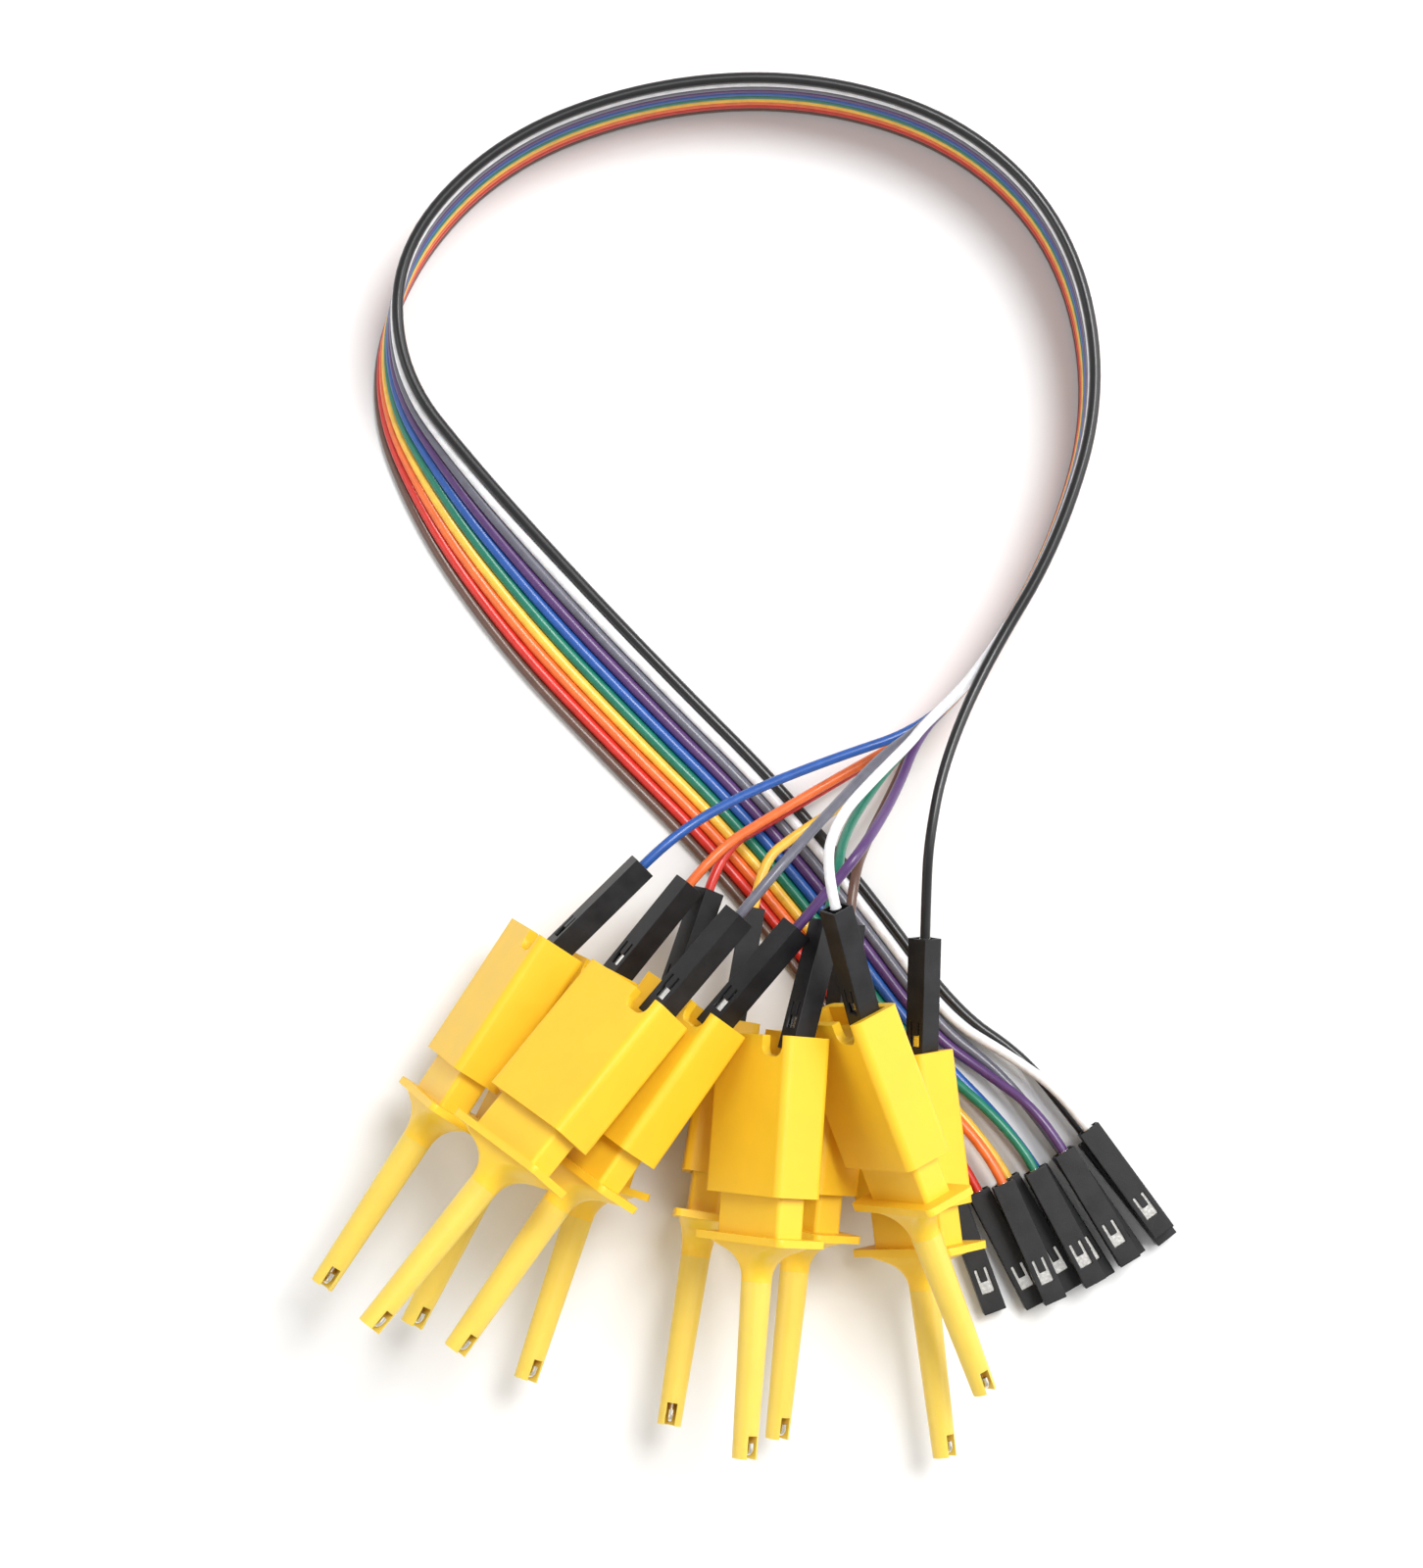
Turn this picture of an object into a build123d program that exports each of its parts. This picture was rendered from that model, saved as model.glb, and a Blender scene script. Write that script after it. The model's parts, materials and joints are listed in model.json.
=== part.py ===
from build123d import *
from math import cos, pi, radians, sin, tan
import os

# Ten-channel test lead set: ten spring hook clips, each plugged on a one-pin
# socket of a ten-way rainbow ribbon, whose other end has ten loose sockets.
# Millimetres, +Z up. The set lies on a table at Z = 0 with its clips' nozzles
# towards -Y, and the origin is under the middle of the heap of clips.

# Clip: the handle is the outer shell that the fingers pull
handle_width = 13.0
handle_thickness = 5.8
handle_length = 16.6
handle_wall = 1.0
handle_edge_radius = 0.9
rear_recess_depth = 2.0
notch_width = 3.4
notch_depth = 2.2

# Clip: the sleeve is the inner body, with the finger flange and the nozzle
slide_clearance = 0.2
sleeve_wall = 0.6
sleeve_overlap = 9.0
stroke = 3.9
stroke_margin = 0.3
flange_width = 15.0
flange_thickness = 6.2
flange_plate = 0.8
flare_length = 4.0
nozzle_base_diameter = 3.2
nozzle_tip_diameter = 2.6
nozzle_reach = 23.0
nozzle_bore = 1.1
hook_slot_width = 1.1
hook_slot_depth = 2.4
sleeve_edge_radius = 0.5
flange_corner_radius = 0.7
flare_spread = 9.6
flare_swell = 1.6
flare_steps = 4

# Clip: the spring round the hook wire, and the hook wire itself
spring_wire = 0.3
spring_mean_radius = 0.84
spring_turns = 12
wire_diameter = 0.6
hook_width = 0.95
hook_lip = 1.0
hook_inset = 0.4
collar_diameter = 1.7
collar_thickness = 0.5
pin_offset = 3.8
pin_reach = 6.0
hook_bend = 0.45
wire_fit = 0.03

# One-pin socket of the standard 2.54 mm pitch
socket_side = 2.54
socket_length = 14.0
socket_wall = 0.3
socket_seat_gap = 0.5
window_width = 1.4
window_length = 2.8
window_from_mouth = 2.2
tongue_width = 0.8
tongue_length = 1.5
contact_gap = 0.08
contact_bore = 1.0
contact_length = 7.0
contact_inset = 0.6
crimp_diameter = 1.2

# Ribbon
lead_diameter = 1.1
lead_pitch = 1.27
lead_rest_height = 0.65
lead_straight = 5.0
bend_share = 0.45

colours = (
    "brown",
    "red",
    "orange",
    "yellow",
    "green",
    "blue",
    "violet",
    "grey",
    "white",
    "black",
)

# Each clip: where the middle of its flange lies, the way its nozzle points
# (turned from -Y towards -X, then raised), how far it is rolled over from
# lying on its broad face, how far its socket leans on the pin (across the
# width, across the thickness), and the colour that is plugged on it.
clips = (
    ((-22.8, 6.0, 14.5), (33, 1), 69, (6, -11), "blue"),
    ((-15.8, 2.5, 8.5), (27, 1), 53, (8, -9), "orange"),
    ((-14.3, 1.5, 28.5), (39, 6), 46, (5, 3), "grey"),
    ((-7.3, -0.5, 23.0), (35, 1), 46, (4, -4), "violet"),
    ((-6.8, -2.0, 8.0), (18, 3), 53, (0, -1), "red"),
    ((5.2, -6.0, 8.0), (9, 4), 89, (2, -1), "yellow"),
    ((11.2, -7.5, 23.5), (4, 1), 54, (1, -12), "green"),
    ((15.7, -7.5, 8.0), (6, -2), 55, (1, 2), "brown"),
    ((27.2, -3.5, 19.5), (-21, -12), 62, (14, 2), "white"),
    ((28.7, -9.5, 8.0), (-7, -2), 48, (11, -1), "black"),
)

# Each loose socket: where its wire enters it, and the way its mouth points
# (turned from -Y towards +X).
loose_sockets = {
    "brown": ((32.7, -4.0, 1.27), 20),
    "red": ((35.7, -4.0, 1.27), 27),
    "orange": ((38.2, -3.0, 4.1), 24),
    "yellow": ((39.0, -2.5, 1.27), 30),
    "green": ((41.7, -1.5, 4.1), 28),
    "blue": ((42.2, -1.6, 1.27), 32),
    "violet": ((44.9, 0.5, 4.1), 31),
    "grey": ((45.0, 0.3, 1.27), 35),
    "white": ((47.6, 3.0, 4.1), 36),
    "black": ((47.9, 1.8, 1.27), 38),
}

# The ribbon's middle line on the table, from the clips to the loose sockets,
# and how far the ribbon leans over there: 0 stands on its brown edge with
# black on top, 90 lies flat with black towards the inside of the loop.
ribbon = (
    (35.7, 53.0, 0),
    (44.2, 67.0, 0),
    (49.2, 84.0, 0),
    (45.7, 101.5, 0),
    (34.2, 113.5, 0),
    (17.2, 118.8, 0),
    (-0.8, 117.8, 0),
    (-17.3, 111.5, 0),
    (-28.3, 99.5, 0),
    (-30.3, 85.5, 22),
    (-23.3, 73.0, 50),
    (-12.8, 60.0, 78),
    (-1.8, 48.5, 90),
    (9.2, 37.5, 90),
    (19.2, 25.5, 90),
    (28.7, 12.5, 90),
)

# Where the ribbon is split, all but the black wire leave it at the neck
neck = (29.2, 46.8)

# The bends of each split wire, from its clip's socket to the neck
clip_bends = {
    "blue": ((10.2, 39.5, 14.0), (19.7, 43.5, 9.5)),
    "orange": ((12.7, 37.2, 7.0), (20.7, 42.0, 4.0)),
    "grey": ((15.7, 33.5, 27.0), (20.2, 38.5, 20.0), (24.7, 43.5, 14.0)),
    "violet": ((22.2, 33.0, 26.0), (26.2, 39.5, 14.5)),
    "red": ((12.2, 36.5, 5.0), (21.2, 42.0, 2.6)),
    "yellow": ((15.2, 35.0, 8.0), (22.2, 39.5, 6.0)),
    "green": ((20.2, 34.5, 17.5), (24.2, 40.8, 8.5)),
    "brown": ((23.2, 34.5, 8.0), (26.7, 41.0, 1.8)),
    "white": ((19.0, 35.3, 35.2), (23.2, 40.0, 29.0), (27.6, 44.6, 18.5)),
    "black": ((29.5, 34.0, 16.0), (31.2, 42.5, 15.0)),
}

# The bends of the outer wires between the ribbon and the loose sockets
loose_bends = {
    "violet": ((36.7, 9.0, 1.5),),
    "grey": ((37.7, 9.6, 0.7),),
    "white": ((39.2, 11.0, 2.0),),
    "black": ((40.7, 11.0, 0.7),),
}

# Sizes that follow from the ones above
flange_gap = stroke + stroke_margin
handle_rear = flange_gap + handle_length
rear_wall_back = handle_rear - rear_recess_depth
rear_wall_front = rear_wall_back - handle_wall
sleeve_width = handle_width - 2 * (handle_wall + slide_clearance)
sleeve_thickness = handle_thickness - 2 * (handle_wall + slide_clearance)
sleeve_length = flange_gap + sleeve_overlap
contact_side = socket_side - 2 * (socket_wall + contact_gap)


def clip_plane(middle, heading, roll):
    """The clip's own plane: X across its width, Z out through the nozzle."""
    turn, lift = (radians(angle) for angle in heading)
    nozzle = Vector(-sin(turn) * cos(lift), -cos(turn) * cos(lift), sin(lift))
    level = Vector(cos(turn), -sin(turn), 0)
    upward = nozzle.cross(level)
    across = level * cos(radians(roll)) + upward * sin(radians(roll))
    return Plane(origin=middle, x_dir=across, z_dir=nozzle)


def socket_plane(mouth, back, across):
    """A socket's own plane: its mouth at the origin, Z towards its wire."""
    square = across - back * across.dot(back)
    return Plane(origin=mouth, x_dir=square.normalized(), z_dir=back)


def plugged_socket_plane(seat, lean):
    """The plane of the socket on a clip's pin, leaning as the pin is bent."""
    sideways, upwards = (radians(angle) for angle in lean)
    back = seat.z_dir * (-cos(sideways) * cos(upwards))
    back += seat.x_dir * (sin(sideways) * cos(upwards))
    back += seat.y_dir * sin(upwards)
    mouth = seat.from_local_coords((pin_offset, 0, -rear_wall_back - socket_seat_gap))
    return socket_plane(mouth, back, seat.x_dir)


def loose_socket_plane(entry, turn):
    """The plane of a loose socket that lies with its mouth turned from -Y."""
    back = Vector(-sin(radians(turn)), cos(radians(turn)), 0)
    mouth = Vector(*entry) - back * socket_length
    return socket_plane(mouth, back, back.cross(Vector(0, 0, 1)))


def make_handle(seat):
    rear_wall = seat.offset(-rear_wall_front)
    recess_floor = seat.offset(-rear_wall_back)
    rear_edge = Plane(
        origin=seat.from_local_coords((pin_offset, 0, -handle_rear)),
        x_dir=seat.x_dir,
        z_dir=seat.y_dir,
    )
    inner_width = handle_width - 2 * handle_wall
    inner_thickness = handle_thickness - 2 * handle_wall
    with BuildPart() as handle:
        with BuildSketch(seat.offset(-handle_rear)):
            RectangleRounded(handle_width, handle_thickness, handle_edge_radius)
        extrude(amount=handle_length)
        with BuildSketch(rear_wall):
            Rectangle(inner_width, inner_thickness)
        extrude(amount=rear_wall_front - flange_gap, mode=Mode.SUBTRACT)
        with BuildSketch(recess_floor):
            Rectangle(inner_width, inner_thickness)
        extrude(amount=-rear_recess_depth, mode=Mode.SUBTRACT)
        with BuildSketch(recess_floor):
            with Locations((pin_offset, 0)):
                Circle(wire_diameter / 2 + wire_fit)
        extrude(amount=handle_wall, mode=Mode.SUBTRACT)
        with BuildSketch(rear_edge):
            RectangleRounded(notch_width, 2 * notch_depth, notch_width / 3)
        extrude(amount=handle_thickness, mode=Mode.SUBTRACT)
    return handle.part


def make_sleeve(seat):
    flare_start = seat.offset(flange_plate)
    nozzle_start = flange_plate + flare_length
    cavity_width = sleeve_width - 2 * sleeve_wall
    cavity_thickness = sleeve_thickness - 2 * sleeve_wall
    with BuildPart() as sleeve:
        with BuildSketch(seat.offset(-sleeve_length)):
            RectangleRounded(sleeve_width, sleeve_thickness, sleeve_edge_radius)
        extrude(amount=sleeve_length)
        with BuildSketch(seat):
            RectangleRounded(flange_width, flange_thickness, flange_corner_radius)
        extrude(amount=flange_plate)
        for step in range(flare_steps + 1):
            left = 1 - step / flare_steps
            width = nozzle_base_diameter + flare_spread * left**3
            thickness = nozzle_base_diameter + flare_swell * left**2
            with BuildSketch(flare_start.offset(flare_length * (1 - left))):
                RectangleRounded(width, thickness, 0.49 * nozzle_base_diameter)
        loft()
        with BuildSketch(seat.offset(nozzle_start)):
            Circle(nozzle_base_diameter / 2)
        with BuildSketch(seat.offset(nozzle_reach)):
            Circle(nozzle_tip_diameter / 2)
        loft()
        with BuildSketch(seat.offset(-sleeve_length)):
            Rectangle(cavity_width, cavity_thickness)
        extrude(amount=sleeve_length - sleeve_wall, mode=Mode.SUBTRACT)
        with BuildSketch(seat.offset(-sleeve_wall)):
            Circle(nozzle_bore / 2)
        extrude(amount=sleeve_wall + nozzle_reach, mode=Mode.SUBTRACT)
        with BuildSketch(seat.offset(nozzle_reach - hook_slot_depth)):
            with Locations((nozzle_base_diameter / 2, 0)):
                Rectangle(nozzle_base_diameter, hook_slot_width)
        extrude(amount=hook_slot_depth, mode=Mode.SUBTRACT)
    return sleeve.part


def make_spring(seat):
    height = sleeve_length - sleeve_wall - spring_wire
    with BuildPart() as spring:
        with BuildLine() as coil:
            Helix(
                height / spring_turns,
                height,
                spring_mean_radius,
                center=seat.from_local_coords((0, 0, spring_wire / 2 - sleeve_length)),
                direction=seat.z_dir,
            )
        with BuildSketch(Plane(origin=coil.line @ 0, z_dir=coil.line % 0)):
            Circle(spring_wire / 2)
        sweep(path=coil.line, is_frenet=True)
    return spring.part


def make_hook(seat, lead):
    top = nozzle_reach - hook_inset - wire_diameter / 2
    collar_back = sleeve_length + collar_thickness
    crank_back = rear_wall_front - wire_diameter
    along = [
        (hook_width, 0, top - hook_lip),
        (hook_width, 0, top),
        (0, 0, top),
        (0, 0, -collar_back - wire_diameter),
        (pin_offset, 0, -crank_back),
        (pin_offset, 0, -rear_wall_back - socket_seat_gap),
    ]
    points = [seat.from_local_coords(point) for point in along]
    points.append(lead.from_local_coords((0, 0, pin_reach)))
    with BuildPart() as hook:
        with BuildLine() as wire:
            FilletPolyline(*points, radius=hook_bend)
        with BuildSketch(Plane(origin=wire.line @ 0, z_dir=wire.line % 0)):
            Circle(wire_diameter / 2)
        sweep(path=wire.line)
        with BuildSketch(seat.offset(-sleeve_length)):
            Circle(collar_diameter / 2)
        extrude(amount=-collar_thickness)
    return hook.part


def make_socket(lead):
    window_plane = Plane(
        origin=lead.from_local_coords((0, 0, window_from_mouth + window_length / 2)),
        x_dir=lead.x_dir,
        z_dir=-lead.y_dir,
    )
    with BuildPart() as socket:
        with BuildSketch(lead):
            Rectangle(socket_side, socket_side)
            Rectangle(
                socket_side - 2 * socket_wall,
                socket_side - 2 * socket_wall,
                mode=Mode.SUBTRACT,
            )
        extrude(amount=socket_length)
        with BuildSketch(window_plane):
            Rectangle(window_width, window_length)
        extrude(amount=socket_side, mode=Mode.SUBTRACT)
        with BuildSketch(window_plane.offset(socket_side / 2 - socket_wall)):
            with Locations((0, (window_length - tongue_length) / 2)):
                Rectangle(tongue_width, tongue_length)
        extrude(amount=socket_wall)
    return socket.part


def make_contact(lead):
    contact_end = contact_inset + contact_length
    with BuildPart() as contact:
        with BuildSketch(lead.offset(contact_inset)):
            Rectangle(contact_side, contact_side)
        extrude(amount=contact_length)
        with BuildSketch(lead.offset(contact_end)):
            Circle(crimp_diameter / 2)
        extrude(amount=socket_length - contact_end)
        with BuildSketch(lead.offset(contact_inset)):
            Rectangle(contact_bore, contact_bore)
        extrude(amount=pin_reach, mode=Mode.SUBTRACT)
    return contact.part


def ribbon_point(station, place):
    """Where the wire at a place across the ribbon passes one of its stations."""
    x, y, lean = ribbon[station]
    before = ribbon[max(station - 1, 0)]
    after = ribbon[min(station + 1, len(ribbon) - 1)]
    along = Vector(after[0] - before[0], after[1] - before[1], 0).normalized()
    inwards = along.rotate(Axis.Z, 90)
    across = (place - (len(colours) - 1) / 2) * lead_pitch * sin(radians(lean))
    height = lead_rest_height + place * lead_pitch * cos(radians(lean))
    return Vector(x, y, height) + inwards * across


def lead_points(colour, clip_lead, loose_lead):
    """The bends of one wire, from its clip's socket to its loose socket."""
    place = colours.index(colour)
    points = [clip_lead.from_local_coords((0, 0, socket_length))]
    points.append(clip_lead.from_local_coords((0, 0, socket_length + lead_straight)))
    points += [Vector(*bend) for bend in clip_bends[colour]]
    if colour != "black":
        points.append(Vector(*neck, lead_rest_height + place * lead_pitch))
    points += [ribbon_point(station, place) for station in range(len(ribbon))]
    points += [Vector(*bend) for bend in loose_bends.get(colour, ())]
    points.append(loose_lead.from_local_coords((0, 0, socket_length + lead_straight)))
    points.append(loose_lead.from_local_coords((0, 0, socket_length)))
    return points


def bend_radii(points):
    """One radius for each bend, as large as the shorter of its runs allows."""
    radii = []
    for before, here, after in zip(points, points[1:], points[2:]):
        turn = (here - before).get_angle(after - here)
        shorter = min((here - before).length, (after - here).length)
        radii.append(bend_share * shorter / tan(radians(turn / 2)))
    return radii


def make_lead(colour, points):
    radii = bend_radii(points)
    with BuildPart() as lead:
        with BuildLine() as route:
            FilletPolyline(*points, radius=radii)
        with BuildSketch(Plane(origin=route.line @ 0, z_dir=route.line % 0)):
            Circle(lead_diameter / 2)
        sweep(path=route.line)
    length = route.wires()[0].length
    section = pi * lead_diameter**2 / 4
    print(f"{colour}: {length:.1f} mm, volume ratio {lead.part.volume / section / length:.4f}")
    print("  radii", [round(radius, 1) for radius in radii])
    return lead.part


def save(part, name):
    part.label = name
    export_step(part, f"parts/{name}.step")


def save_group(pieces, name):
    with BuildPart() as group:
        add(pieces)
    save(group.part, name)


os.makedirs("parts", exist_ok=True)
clip_sockets = []
clip_contacts = []
loose_shells = []
loose_contacts = []
for number, (middle, heading, roll, lean, colour) in enumerate(clips, start=1):
    seat = clip_plane(middle, heading, roll)
    clip_lead = plugged_socket_plane(seat, lean)
    loose_lead = loose_socket_plane(*loose_sockets[colour])
    save(make_handle(seat), f"handle_{number}")
    save(make_sleeve(seat), f"sleeve_{number}")
    save(make_spring(seat), f"spring_{number}")
    save(make_hook(seat, clip_lead), f"hook_{number}")
    save(make_lead(colour, lead_points(colour, clip_lead, loose_lead)), f"wire_{colour}")
    clip_sockets.append(make_socket(clip_lead))
    clip_contacts.append(make_contact(clip_lead))
    loose_shells.append(make_socket(loose_lead))
    loose_contacts.append(make_contact(loose_lead))
save_group(clip_sockets, "clip_sockets")
save_group(clip_contacts, "clip_socket_contacts")
save_group(loose_shells, "loose_sockets")
save_group(loose_contacts, "loose_socket_contacts")
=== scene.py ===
# %% [markdown]
# # A set of ten hook test clips on a rainbow ribbon
# A test lead set joins a measuring box on a bench to the legs of chips.
# Each of its ten wires has a yellow clip with a sprung hook at one end and a
# loose black socket at the other. The exact shapes come from the frame, which
# holds every moulded part at its real place and size. What is left for this
# lesson is what makes them look moulded, drawn and extruded: softened edges,
# round limp wire, coiled springs and the finish of each material.

# %% Load the frame and keep its size
import json
import math

import bmesh
import bpy
from mathutils import Matrix, Vector


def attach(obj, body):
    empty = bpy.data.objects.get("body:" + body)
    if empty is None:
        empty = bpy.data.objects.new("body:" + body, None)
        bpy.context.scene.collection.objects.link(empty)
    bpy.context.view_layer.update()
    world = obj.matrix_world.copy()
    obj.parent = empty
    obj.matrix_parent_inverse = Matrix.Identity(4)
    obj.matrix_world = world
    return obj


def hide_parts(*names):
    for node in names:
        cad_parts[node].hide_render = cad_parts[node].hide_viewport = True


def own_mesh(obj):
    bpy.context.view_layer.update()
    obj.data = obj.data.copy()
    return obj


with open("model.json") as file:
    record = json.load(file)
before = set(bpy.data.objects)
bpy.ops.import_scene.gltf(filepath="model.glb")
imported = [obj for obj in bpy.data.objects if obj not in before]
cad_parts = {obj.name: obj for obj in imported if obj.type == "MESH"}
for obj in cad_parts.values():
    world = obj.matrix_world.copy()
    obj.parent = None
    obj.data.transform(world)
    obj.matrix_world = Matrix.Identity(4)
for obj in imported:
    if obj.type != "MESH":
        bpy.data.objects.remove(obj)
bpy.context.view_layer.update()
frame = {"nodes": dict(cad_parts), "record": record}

MM = 0.001
CLIP_COUNT = 10
WIRE_ORDER = (
    "brown", "red", "orange", "yellow", "green",
    "blue", "violet", "grey", "white", "black",
)

# %% [markdown]
# ## The eye
# The set lies on a table and is looked at from almost straight above. The
# camera stands 380 mm away, tipped 4 degrees from the vertical towards the
# clips, so that the flanges' front faces show a little. The plain view
# transform keeps the plastics as strong in colour as they are.

# %% Camera above the table
camera_data = bpy.data.cameras.new("camera")
camera_data.lens = 78.7
camera_data.clip_start = 0.01
camera_data.clip_end = 10.0
camera = bpy.data.objects.new("camera", camera_data)
bpy.context.scene.collection.objects.link(camera)
eye_target = Vector((6.2, 41.0, 4.0)) * MM
eye_distance = 380 * MM
eye_lift = math.radians(86.0)
eye_back = Vector((0.0, -math.cos(eye_lift), math.sin(eye_lift)))
camera.location = eye_target + eye_back * eye_distance
camera.rotation_euler = (-eye_back).to_track_quat("-Z", "Y").to_euler()
bpy.context.scene.camera = camera
bpy.context.scene.view_settings.view_transform = "Standard"
print("camera at", [round(value, 4) for value in camera.location])

# %% [markdown]
# ## Helpers for materials
# Every finish here starts from one shader with its constant settings put
# straight on the sockets. A noise pattern read from Object coordinates then
# shifts the colour and the roughness a little, and a finer one gives the
# bump. The pattern is sized in waves per metre, so a real grain of half a
# millimetre is a scale of 2000.

# %% A shader with mottled colour and fine bump
def start_finish(name, roughness, metallic=0.0, specular=0.5, coat=0.0):
    finish = bpy.data.materials.new(name)
    finish.use_nodes = True
    shader = finish.node_tree.nodes["Principled BSDF"]
    shader.inputs["Roughness"].default_value = roughness
    shader.inputs["Metallic"].default_value = metallic
    shader.inputs["Specular IOR Level"].default_value = specular
    shader.inputs["Coat Weight"].default_value = coat
    return finish, finish.node_tree.nodes, finish.node_tree.links, shader


def object_noise(nodes, links, scale, detail=3.0, stretch=(1.0, 1.0, 1.0)):
    place = nodes.new("ShaderNodeTexCoord")
    mapping = nodes.new("ShaderNodeMapping")
    mapping.inputs["Scale"].default_value = stretch
    noise = nodes.new("ShaderNodeTexNoise")
    noise.inputs["Scale"].default_value = scale
    noise.inputs["Detail"].default_value = detail
    links.new(place.outputs["Object"], mapping.inputs["Vector"])
    links.new(mapping.outputs["Vector"], noise.inputs["Vector"])
    return noise.outputs["Fac"]


def mottle(nodes, links, shader, pattern, dark, light):
    ramp = nodes.new("ShaderNodeValToRGB")
    ramp.color_ramp.elements[0].position = 0.3
    ramp.color_ramp.elements[0].color = (*dark, 1.0)
    ramp.color_ramp.elements[1].position = 0.7
    ramp.color_ramp.elements[1].color = (*light, 1.0)
    links.new(pattern, ramp.inputs["Fac"])
    links.new(ramp.outputs["Color"], shader.inputs["Base Color"])


def vary_roughness(nodes, links, shader, pattern, low, high):
    spread = nodes.new("ShaderNodeMapRange")
    spread.inputs["To Min"].default_value = low
    spread.inputs["To Max"].default_value = high
    links.new(pattern, spread.inputs["Value"])
    links.new(spread.outputs["Result"], shader.inputs["Roughness"])


def fine_bump(nodes, links, shader, pattern, height, strength):
    bump = nodes.new("ShaderNodeBump")
    bump.inputs["Distance"].default_value = height
    bump.inputs["Strength"].default_value = strength
    links.new(pattern, bump.inputs["Height"])
    links.new(bump.outputs["Normal"], shader.inputs["Normal"])


def shade(colour, factor):
    return tuple(min(1.0, channel * factor) for channel in colour)

# %% [markdown]
# ## The yellow moulding
# Handles and sleeves are moulded in a yellow nylon that lets a little light
# in, which warms the shadows to orange. Subsurface scattering does this. The
# mould leaves a faint satin grain and slow flow marks, a few millimetres
# wide. The long nozzle is thinner, so it looks paler and a little greener.

# %% Finishes of the handle, the sleeve and the nozzle
def moulded_yellow(name, colour, glow, roughness):
    finish, nodes, links, shader = start_finish(name, roughness, specular=0.45)
    flow = object_noise(nodes, links, 260.0, 2.0)
    grain = object_noise(nodes, links, 5200.0, 2.0)
    mottle(nodes, links, shader, flow, shade(colour, 0.98), shade(colour, 1.03))
    vary_roughness(nodes, links, shader, flow, roughness - 0.05, roughness + 0.07)
    fine_bump(nodes, links, shader, grain, 0.03 * MM, 0.35)
    shader.inputs["Subsurface Weight"].default_value = glow
    shader.inputs["Subsurface Radius"].default_value = (1.0, 0.55, 0.1)
    shader.inputs["Subsurface Scale"].default_value = 1.2 * MM
    return finish


handle_finish = moulded_yellow("yellow_handle", (0.87, 0.53, 0.022), 0.10, 0.42)
sleeve_finish = moulded_yellow("yellow_sleeve", (0.88, 0.56, 0.030), 0.16, 0.40)
nozzle_finish = moulded_yellow("yellow_nozzle", (0.78, 0.57, 0.090), 0.35, 0.36)
print("yellow finishes:", handle_finish.name, sleeve_finish.name, nozzle_finish.name)

# %% [markdown]
# ## The metals
# The hook is a springy wire plated with tin, the spring is bare drawn steel,
# and the contacts in the sockets are stamped and tinned. Drawn wire has very
# fine lines along it, so its noise is stretched in one direction.

# %% Finishes of the hook, the spring and the contacts
def drawn_metal(name, colour, roughness, stretch):
    finish, nodes, links, shader = start_finish(name, roughness, metallic=1.0)
    lines = object_noise(nodes, links, 3000.0, 4.0, stretch)
    mottle(nodes, links, shader, lines, shade(colour, 0.82), shade(colour, 1.08))
    vary_roughness(nodes, links, shader, lines, roughness - 0.06, roughness + 0.12)
    fine_bump(nodes, links, shader, lines, 0.01 * MM, 0.2)
    return finish


hook_finish = drawn_metal("tinned_hook_wire", (0.80, 0.76, 0.68), 0.25, (1.0, 0.2, 1.0))
spring_finish = drawn_metal("spring_steel", (0.56, 0.56, 0.58), 0.3, (1.0, 1.0, 0.3))
contact_finish = drawn_metal("tinned_contact", (0.86, 0.84, 0.80), 0.22, (1.0, 1.0, 1.0))
print("metal finishes:", hook_finish.name, spring_finish.name, contact_finish.name)

# %% [markdown]
# ## The black housings
# The sockets' housings are black glass-filled plastic: a satin surface with
# a fine sparkle of fibre near the skin, slightly brown where it is rubbed.

# %% Finish of the socket housings
housing_finish, nodes, links, shader = start_finish("black_housing", 0.42, specular=0.35)
rub = object_noise(nodes, links, 420.0, 3.0)
fibre = object_noise(nodes, links, 6500.0, 3.0)
mottle(nodes, links, shader, rub, (0.007, 0.007, 0.008), (0.015, 0.015, 0.017))
vary_roughness(nodes, links, shader, rub, 0.36, 0.54)
fine_bump(nodes, links, shader, fibre, 0.03 * MM, 0.4)
print("housing finish:", housing_finish.name)

# %% [markdown]
# ## The wires' insulation
# Each wire is in soft PVC of its own colour. It is a little glossier than
# the housings, and its skin has a slow waviness from the extruder.

# %% One finish for each colour of wire
INSULATION = {
    "brown": (0.120, 0.058, 0.040),
    "red": (0.620, 0.024, 0.014),
    "orange": (0.840, 0.160, 0.030),
    "yellow": (0.920, 0.540, 0.060),
    "green": (0.006, 0.180, 0.110),
    "blue": (0.016, 0.090, 0.360),
    "violet": (0.090, 0.036, 0.150),
    "grey": (0.130, 0.130, 0.165),
    "white": (0.820, 0.820, 0.840),
    "black": (0.007, 0.007, 0.008),
}


def insulation_finish(colour_name):
    colour = INSULATION[colour_name]
    name = "insulation_" + colour_name
    finish, nodes, links, shader = start_finish(name, 0.34, specular=0.5, coat=0.12)
    wave = object_noise(nodes, links, 900.0, 2.0)
    skin = object_noise(nodes, links, 7000.0, 2.0)
    mottle(nodes, links, shader, wave, shade(colour, 0.88), shade(colour, 1.08))
    vary_roughness(nodes, links, shader, wave, 0.28, 0.42)
    fine_bump(nodes, links, shader, skin, 0.02 * MM, 0.3)
    shader.inputs["Subsurface Weight"].default_value = 0.08
    shader.inputs["Subsurface Scale"].default_value = 0.4 * MM
    return finish


insulation = {name: insulation_finish(name) for name in WIRE_ORDER}
print("wire finishes:", len(insulation))

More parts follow.
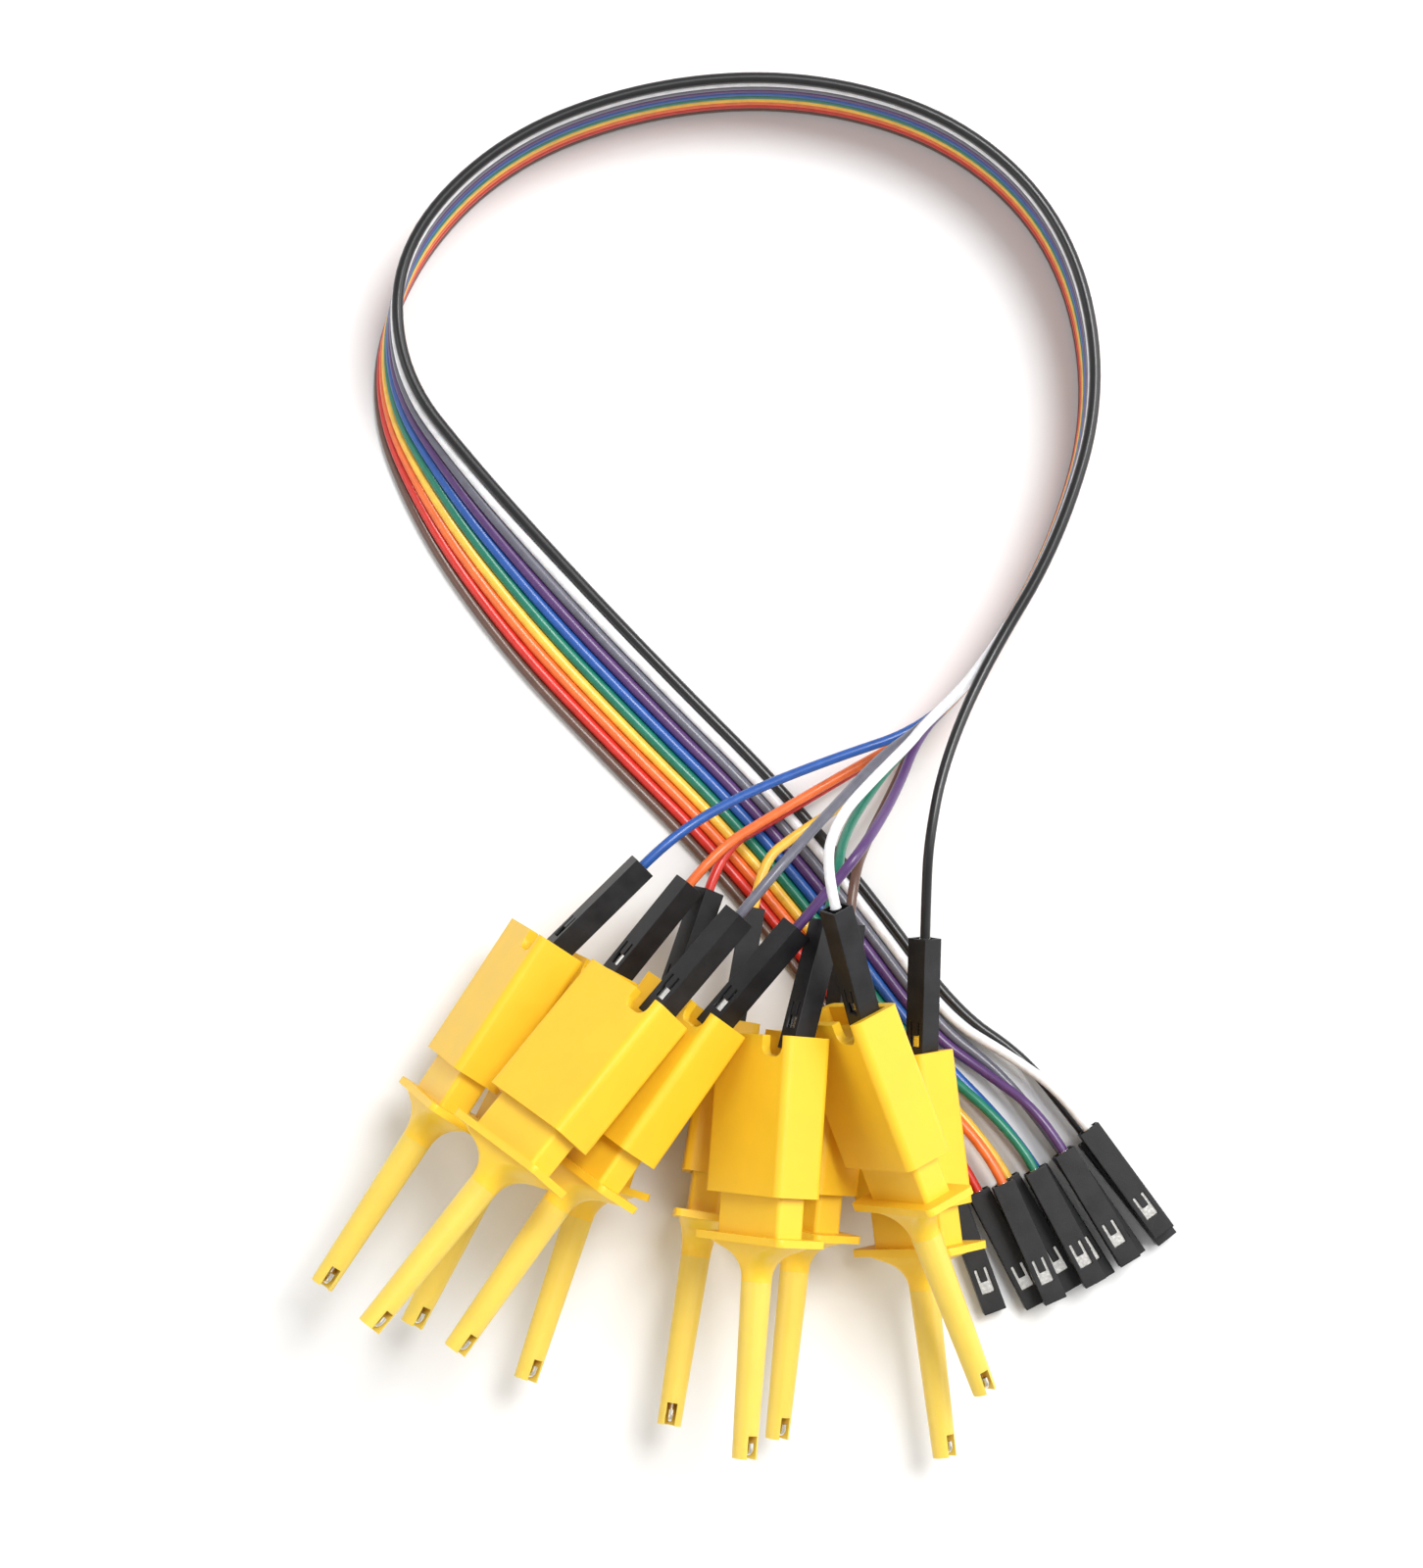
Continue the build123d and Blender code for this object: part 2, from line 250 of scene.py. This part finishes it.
# %% [markdown]
# ## The wires' routes
# A wire is a soft curve guided by a few chosen points: out of its clip's
# socket, over its neighbours to the place where the ribbon is split, round
# the ribbon's loop, and out of the ribbon again to its loose socket. Along
# the loop the ten wires lie side by side, so their points come from the
# ribbon's middle line and how far the ribbon leans over at each of them.

# %% The chosen points, in millimetres
LEAD_DIAMETER = 1.1
LEAD_PITCH = 1.27
LEAD_REST_HEIGHT = 0.65
LEAD_STRAIGHT = 5.0
SOCKET_LENGTH = 14.0

RIBBON = (
    (35.7, 53.0, 0), (44.2, 67.0, 0), (49.2, 84.0, 0), (45.7, 101.5, 0),
    (34.2, 113.5, 0), (17.2, 118.8, 0), (-0.8, 117.8, 0), (-17.3, 111.5, 0),
    (-28.3, 99.5, 0), (-30.3, 85.5, 22), (-23.3, 73.0, 50), (-12.8, 60.0, 78),
    (-1.8, 48.5, 90), (9.2, 37.5, 90), (19.2, 25.5, 90), (28.7, 12.5, 90),
)
NECK = (29.2, 46.8)
CLIP_ENDS = {
    "blue": ((-1.1, 31.3, 17.9), (2.4, 34.8, 17.9)),
    "orange": ((3.8, 29.6, 11.2), (7.0, 33.5, 11.2)),
    "grey": ((9.1, 25.7, 29.1), (12.3, 29.5, 29.1)),
    "violet": ((15.1, 24.5, 25.2), (18.3, 28.2, 25.1)),
    "red": ((5.9, 29.0, 9.1), (7.5, 33.7, 8.8)),
    "yellow": ((10.8, 27.0, 10.0), (11.6, 32.0, 9.8)),
    "green": ((18.2, 25.1, 24.5), (19.4, 29.9, 23.9)),
    "brown": ((21.1, 25.3, 12.8), (21.5, 30.2, 13.1)),
    "white": ((18.9, 26.3, 32.8), (17.7, 30.7, 34.9)),
    "black": ((29.2, 23.7, 13.8), (29.3, 28.6, 14.6)),
}
CLIP_BENDS = {
    "blue": ((10.2, 39.5, 14.0), (19.7, 43.5, 9.5)),
    "orange": ((12.7, 37.2, 7.0), (20.7, 42.0, 4.0)),
    "grey": ((15.7, 33.5, 27.0), (20.2, 38.5, 20.0), (24.7, 43.5, 14.0)),
    "violet": ((22.2, 33.0, 26.0), (26.2, 39.5, 14.5)),
    "red": ((12.2, 36.5, 5.0), (21.2, 42.0, 2.6)),
    "yellow": ((15.2, 35.0, 8.0), (22.2, 39.5, 6.0)),
    "green": ((20.2, 34.5, 17.5), (24.2, 40.8, 8.5)),
    "brown": ((23.2, 34.5, 8.0), (26.7, 41.0, 1.8)),
    "white": ((19.0, 35.3, 35.2), (23.2, 40.0, 29.0), (27.6, 44.6, 18.5)),
    "black": ((29.5, 34.0, 16.0), (31.2, 42.5, 15.0)),
}
LOOSE_BENDS = {
    "violet": ((36.7, 9.0, 1.5),),
    "grey": ((37.7, 9.6, 0.7),),
    "white": ((39.2, 11.0, 2.0),),
    "black": ((40.7, 11.0, 0.7),),
}

# %% [markdown]
# ## From the tables to one wire
# The tables hold only what was chosen. Each wire's last two points
# come from the frame's record, which says where its loose socket has its
# mouth and which way the mouth points, so the wire meets its socket exactly.

# %% Where each loose socket lies, and the points of a wire
mounts = {mount["name"]: mount for mount in frame["record"]["mounts"]}


def loose_socket(colour_name):
    """The mouth of a loose socket and the way that its mouth points."""
    mount = mounts["socket_mouth_" + colour_name]
    return Vector(mount["pos_m"]), Vector(mount["axis"]).normalized()


def ribbon_point(station, place):
    """Where the wire at a place across the ribbon passes a station, in mm."""
    x, y, lean = RIBBON[station]
    before = Vector(RIBBON[max(station - 1, 0)][:2])
    after = Vector(RIBBON[min(station + 1, len(RIBBON) - 1)][:2])
    along = (after - before).normalized()
    middle = (len(WIRE_ORDER) - 1) / 2
    across = (place - middle) * LEAD_PITCH * math.sin(math.radians(lean))
    height = LEAD_REST_HEIGHT + place * LEAD_PITCH * math.cos(math.radians(lean))
    return Vector((x - along.y * across, y + along.x * across, height))


def wire_route(colour_name):
    """The points of one wire in metres, and which of them are in the ribbon."""
    place = WIRE_ORDER.index(colour_name)
    points = [Vector(point) for point in CLIP_ENDS[colour_name]]
    points += [Vector(point) for point in CLIP_BENDS[colour_name]]
    if colour_name != "black":
        points.append(Vector((*NECK, LEAD_REST_HEIGHT + place * LEAD_PITCH)))
    bonded_from = len(points)
    points += [ribbon_point(station, place) for station in range(len(RIBBON))]
    bonded_to = len(points)
    points += [Vector(point) for point in LOOSE_BENDS.get(colour_name, ())]
    points = [point * MM for point in points]
    mouth, mouth_way = loose_socket(colour_name)
    points.append(mouth - mouth_way * (SOCKET_LENGTH + LEAD_STRAIGHT) * MM)
    points.append(mouth - mouth_way * SOCKET_LENGTH * MM)
    return points, range(bonded_from, bonded_to)

# %% [markdown]
# ## The wires themselves
# A NURBS curve of order 3 passes near the points without a kink, and a round
# bevel gives it the insulation's thickness. Inside the ribbon the skins of
# neighbouring wires are welded where they touch. There each curve is a
# little thicker, until the wires meet and only a groove is left between.

# %% Ten curves with a round bevel
BONDED_SWELL = LEAD_PITCH / LEAD_DIAMETER


def make_wire(colour_name):
    points, bonded = wire_route(colour_name)
    curve = bpy.data.curves.new("lead_" + colour_name, "CURVE")
    curve.dimensions = "3D"
    curve.resolution_u = 10
    curve.bevel_depth = LEAD_DIAMETER / 2 * MM
    curve.bevel_resolution = 3
    curve.use_fill_caps = True
    spline = curve.splines.new("NURBS")
    spline.points.add(len(points) - 1)
    for index, point in enumerate(points):
        spline.points[index].co = (*point, 1.0)
        spline.points[index].radius = BONDED_SWELL if index in bonded else 1.0
    spline.order_u = 3
    spline.use_endpoint_u = True
    spline.use_smooth = True
    curve.materials.append(insulation[colour_name])
    wire = bpy.data.objects.new("lead_" + colour_name, curve)
    bpy.context.scene.collection.objects.link(wire)
    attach(wire, "set")
    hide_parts("wire_" + colour_name)
    return wire, points[0], spline.calc_length()


wires = {}
for colour_name in WIRE_ORDER:
    wire, exit_point, length = make_wire(colour_name)
    wires[colour_name] = (wire, exit_point, length)
    print("lead", colour_name, round(length / MM, 1), "mm")

# %% [markdown]
# ## Softening the moulded edges
# No moulded edge is sharp: the mould's own corners are rounded by about a
# tenth of a millimetre, and those roundings catch the light as thin bright
# lines. The frame's parts have sharp small edges, so each is copied, its
# triangles are merged back into flat faces, and a Bevel rounds what is left.

# %% A copy of a frame part with rounded edges
MERGE_DISTANCE = 0.002 * MM
FLAT_ANGLE = math.radians(1.0)
EDGE_ANGLE = math.radians(38.0)


def islands(work):
    """The separate solids of a mesh, each as its list of vertices."""
    left = set(work.verts)
    found = []
    while left:
        island = {left.pop()}
        edge_of_search = list(island)
        while edge_of_search:
            vert = edge_of_search.pop()
            for edge in vert.link_edges:
                other = edge.other_vert(vert)
                if other in left:
                    left.remove(other)
                    island.add(other)
                    edge_of_search.append(other)
        found.append(list(island))
    return found


def merged_mesh(node, name, keep=None):
    """The node's shape as merged faces, or only its islands that keep() picks."""
    work = bmesh.new()
    work.from_mesh(frame["nodes"][node].data)
    bmesh.ops.remove_doubles(work, verts=work.verts, dist=MERGE_DISTANCE)
    if keep:
        unwanted = [vert for island in islands(work) if not keep(island) for vert in island]
        bmesh.ops.delete(work, geom=unwanted, context="VERTS")
    bmesh.ops.dissolve_limit(
        work, angle_limit=FLAT_ANGLE, verts=work.verts, edges=work.edges
    )
    mesh = bpy.data.meshes.new(name)
    work.to_mesh(mesh)
    work.free()
    return mesh


def rounded_piece(mesh, edge_radius, finishes, body, replaced):
    piece = bpy.data.objects.new(mesh.name, mesh)
    bpy.context.scene.collection.objects.link(piece)
    for polygon in mesh.polygons:
        polygon.use_smooth = True
    mesh.materials.clear()
    for finish in finishes:
        mesh.materials.append(finish)
    bevel = piece.modifiers.new("rounded_edges", "BEVEL")
    bevel.limit_method = "ANGLE"
    bevel.angle_limit = EDGE_ANGLE
    bevel.width = edge_radius
    bevel.segments = 2
    bevel.use_clamp_overlap = True
    flat = piece.modifiers.new("flat_faces_stay_flat", "WEIGHTED_NORMAL")
    flat.weight = 100
    evaluated = piece.evaluated_get(bpy.context.evaluated_depsgraph_get())
    finished = bpy.data.meshes.new_from_object(evaluated)
    piece.modifiers.clear()
    piece.data = finished
    finished.name = mesh.name + "_mesh"
    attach(piece, body)
    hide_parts(replaced)
    return piece

# %% [markdown]
# ## Handles
# The handle is the outer shell that two fingers pull forwards. It keeps the
# frame's shape and gets rounded edges and the yellow finish.

# %% Ten handles
HANDLE_EDGE = 0.12 * MM
for number in range(1, CLIP_COUNT + 1):
    node = f"handle_{number}"
    mesh = merged_mesh(node, f"clip_handle_{number}")
    handle = rounded_piece(mesh, HANDLE_EDGE, [handle_finish], "set", node)
print("handles:", CLIP_COUNT, "of", len(handle.data.polygons), "faces")

# %% [markdown]
# ## Sleeves and nozzles
# A sleeve and its nozzle are one moulding, but the nozzle is thin enough for
# the wire inside to show through. So its faces, found by how far they are
# from the tip and from the clip's middle line, get the paler finish.

# %% Ten sleeves with their nozzles
SLEEVE_EDGE = 0.08 * MM
NOZZLE_LENGTH = 18.2 * MM
NOZZLE_RADIUS = 1.9 * MM


def clip_tip(number):
    """The tip of a clip's nozzle and the way that the nozzle points."""
    mount = mounts[f"hook_tip_{number}"]
    return Vector(mount["pos_m"]), Vector(mount["axis"]).normalized()


def mark_nozzle(mesh, tip, way):
    for polygon in mesh.polygons:
        behind = (tip - polygon.center).dot(way)
        aside = ((tip - polygon.center) - way * behind).length
        if behind < NOZZLE_LENGTH and aside < NOZZLE_RADIUS:
            polygon.material_index = 1


for number in range(1, CLIP_COUNT + 1):
    node = f"sleeve_{number}"
    mesh = merged_mesh(node, f"clip_sleeve_{number}")
    finishes = [sleeve_finish, nozzle_finish]
    sleeve = rounded_piece(mesh, SLEEVE_EDGE, finishes, node, node)
    mark_nozzle(sleeve.data, *clip_tip(number))
print("sleeves:", CLIP_COUNT, "of", len(sleeve.data.polygons), "faces")

# %% [markdown]
# ## Return springs
# Behind each nozzle a steel spring pushes the sleeve forwards. A coil is a
# shape that follows a rule, so Geometry Nodes make it: a spiral with so many
# turns, swept with a round wire. The tree's sizes are named inputs. Each
# coil is then turned onto its clip's middle line.

# %% The coil tree and ten coils
SPRING = {
    "Turns": 12.0,
    "Height": 12.3 * MM,
    "Coil radius": 0.84 * MM,
    "Wire radius": 0.15 * MM,
}
SPRING_FRONT = 23.75 * MM


def build_coil_tree():
    tree = bpy.data.node_groups.new("return_spring", "GeometryNodeTree")
    for name in SPRING:
        tree.interface.new_socket(name, in_out="INPUT", socket_type="NodeSocketFloat")
    tree.interface.new_socket("Geometry", in_out="OUTPUT", socket_type="NodeSocketGeometry")
    sizes = tree.nodes.new("NodeGroupInput")
    result = tree.nodes.new("NodeGroupOutput")
    spiral = tree.nodes.new("GeometryNodeCurveSpiral")
    spiral.inputs["Resolution"].default_value = 16
    section = tree.nodes.new("GeometryNodeCurvePrimitiveCircle")
    section.inputs["Resolution"].default_value = 8
    sweep = tree.nodes.new("GeometryNodeCurveToMesh")
    sweep.inputs["Fill Caps"].default_value = True
    realize = tree.nodes.new("GeometryNodeRealizeInstances")
    paint = tree.nodes.new("GeometryNodeSetMaterial")
    paint.inputs["Material"].default_value = spring_finish
    tree.links.new(sizes.outputs["Turns"], spiral.inputs["Rotations"])
    tree.links.new(sizes.outputs["Height"], spiral.inputs["Height"])
    tree.links.new(sizes.outputs["Coil radius"], spiral.inputs["Start Radius"])
    tree.links.new(sizes.outputs["Coil radius"], spiral.inputs["End Radius"])
    tree.links.new(sizes.outputs["Wire radius"], section.inputs["Radius"])
    tree.links.new(spiral.outputs["Curve"], sweep.inputs["Curve"])
    tree.links.new(section.outputs["Curve"], sweep.inputs["Profile Curve"])
    tree.links.new(sweep.outputs["Mesh"], realize.inputs["Geometry"])
    tree.links.new(realize.outputs["Geometry"], paint.inputs["Geometry"])
    tree.links.new(paint.outputs["Geometry"], result.inputs["Geometry"])
    return tree


coil_tree = build_coil_tree()


def make_coil(number):
    tip, way = clip_tip(number)
    name = f"return_spring_{number}"
    coil = bpy.data.objects.new(name, bpy.data.meshes.new(name))
    bpy.context.scene.collection.objects.link(coil)
    grower = coil.modifiers.new("coil", "NODES")
    grower.node_group = coil_tree
    for item in coil_tree.interface.items_tree:
        if item.in_out == "INPUT":
            grower[item.identifier] = SPRING[item.name]
    evaluated = coil.evaluated_get(bpy.context.evaluated_depsgraph_get())
    mesh = bpy.data.meshes.new_from_object(evaluated)
    coil.modifiers.clear()
    back = tip - way * (SPRING_FRONT + SPRING["Height"])
    turn = way.to_track_quat("Z", "Y").to_matrix().to_4x4()
    mesh.transform(Matrix.Translation(back) @ turn)
    for polygon in mesh.polygons:
        polygon.use_smooth = True
    coil.data = mesh
    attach(coil, "set")
    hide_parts(f"spring_{number}")
    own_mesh(coil)
    return coil


for number in range(1, CLIP_COUNT + 1):
    coil = make_coil(number)
print("springs:", CLIP_COUNT, "of", len(coil.data.polygons), "faces")

# %% [markdown]
# ## Hooks
# The hook wires and the contacts inside the clips' sockets already have
# their real shape, so they keep the frame's mesh and only get a finish.

# %% Hook wires and the contacts at the clips
def give_finish(node, finish):
    mesh = frame["nodes"][node].data
    mesh.materials.clear()
    mesh.materials.append(finish)
    for polygon in mesh.polygons:
        polygon.material_index = 0


for number in range(1, CLIP_COUNT + 1):
    give_finish(f"hook_{number}", hook_finish)
give_finish("clip_socket_contacts", contact_finish)
print("hook wires:", CLIP_COUNT)

# %% [markdown]
# ## Sockets
# The ten sockets on the clips stay together as one piece, because none of
# them moves. Each loose socket belongs to one wire, so it is split off by
# its place: its solid is the one whose middle lies within 1.3 mm of where the
# record puts it. The length of each wire is measured on its own curve.

# %% Sockets on the clips
SOCKET_EDGE = 0.1 * MM
mesh = merged_mesh("clip_sockets", "clip_socket_housings")
rounded_piece(mesh, SOCKET_EDGE, [housing_finish], "set", "clip_sockets")
print("sockets on clips:", len(mesh.polygons), "faces")

# %% Loose sockets, one for each wire
CONTACT_EDGE = 0.04 * MM
SOCKET_REACH = 1.3 * MM


def island_middle(island):
    low = [min(vert.co[axis] for vert in island) for axis in range(3)]
    high = [max(vert.co[axis] for vert in island) for axis in range(3)]
    return (Vector(low) + Vector(high)) / 2


def lies_near(place, reach):
    return lambda island: (island_middle(island) - place).length < reach


def make_loose_socket(colour_name):
    mouth, way = loose_socket(colour_name)
    middle = mouth - way * SOCKET_LENGTH / 2 * MM
    is_this_one = lies_near(middle, SOCKET_REACH)
    mesh = merged_mesh("loose_sockets", "loose_socket_" + colour_name, is_this_one)
    housing = rounded_piece(
        mesh, SOCKET_EDGE, [housing_finish], "set", "loose_sockets"
    )
    mesh = merged_mesh("loose_socket_contacts", "loose_contact_" + colour_name, is_this_one)
    contact = rounded_piece(
        mesh, CONTACT_EDGE, [contact_finish], "set", "loose_socket_contacts"
    )
    return housing, contact


for colour_name in WIRE_ORDER:
    housing, contact = make_loose_socket(colour_name)
    wire, exit_point, length = wires[colour_name]
    print("socket", colour_name, len(housing.data.polygons), "faces")

# %% [markdown]
# ## Table and light
# The set lies on a plain white table. One large soft light above and two
# wide ones from the sides leave only faint shadows, as in a light tent.

# %% Floor
floor_mesh = bpy.data.meshes.new("table")
half = 1.5
corners = [(-half, -half, 0), (half, -half, 0), (half, half, 0), (-half, half, 0)]
floor_mesh.from_pydata(corners, [], [(0, 1, 2, 3)])
floor = bpy.data.objects.new("table", floor_mesh)
bpy.context.scene.collection.objects.link(floor)
table_finish, nodes, links, shader = start_finish("white_table", 0.7, specular=0.2)
mottle(nodes, links, shader, object_noise(nodes, links, 30.0), (0.84,) * 3, (0.86,) * 3)
floor_mesh.materials.append(table_finish)

# %% Soft lights
def soft_light(name, place, size, power):
    data = bpy.data.lights.new(name, "AREA")
    data.shape = "DISK"
    data.size = size
    data.energy = power
    light = bpy.data.objects.new(name, data)
    light.location = place
    light.rotation_euler = (eye_target - Vector(place)).to_track_quat("-Z", "Y").to_euler()
    bpy.context.scene.collection.objects.link(light)


soft_light("above", (0.30, 0.35, 0.85), 0.4, 7.5)
soft_light("left", (-0.9, -0.2, 0.6), 0.7, 2.0)
soft_light("right", (0.9, 0.2, 0.5), 0.7, 3.5)
world = bpy.data.worlds.new("light_tent")
world.use_nodes = True
world.node_tree.nodes["Background"].inputs["Color"].default_value = (1.0, 1.0, 1.0, 1.0)
world.node_tree.nodes["Background"].inputs["Strength"].default_value = 0.60
bpy.context.scene.world = world
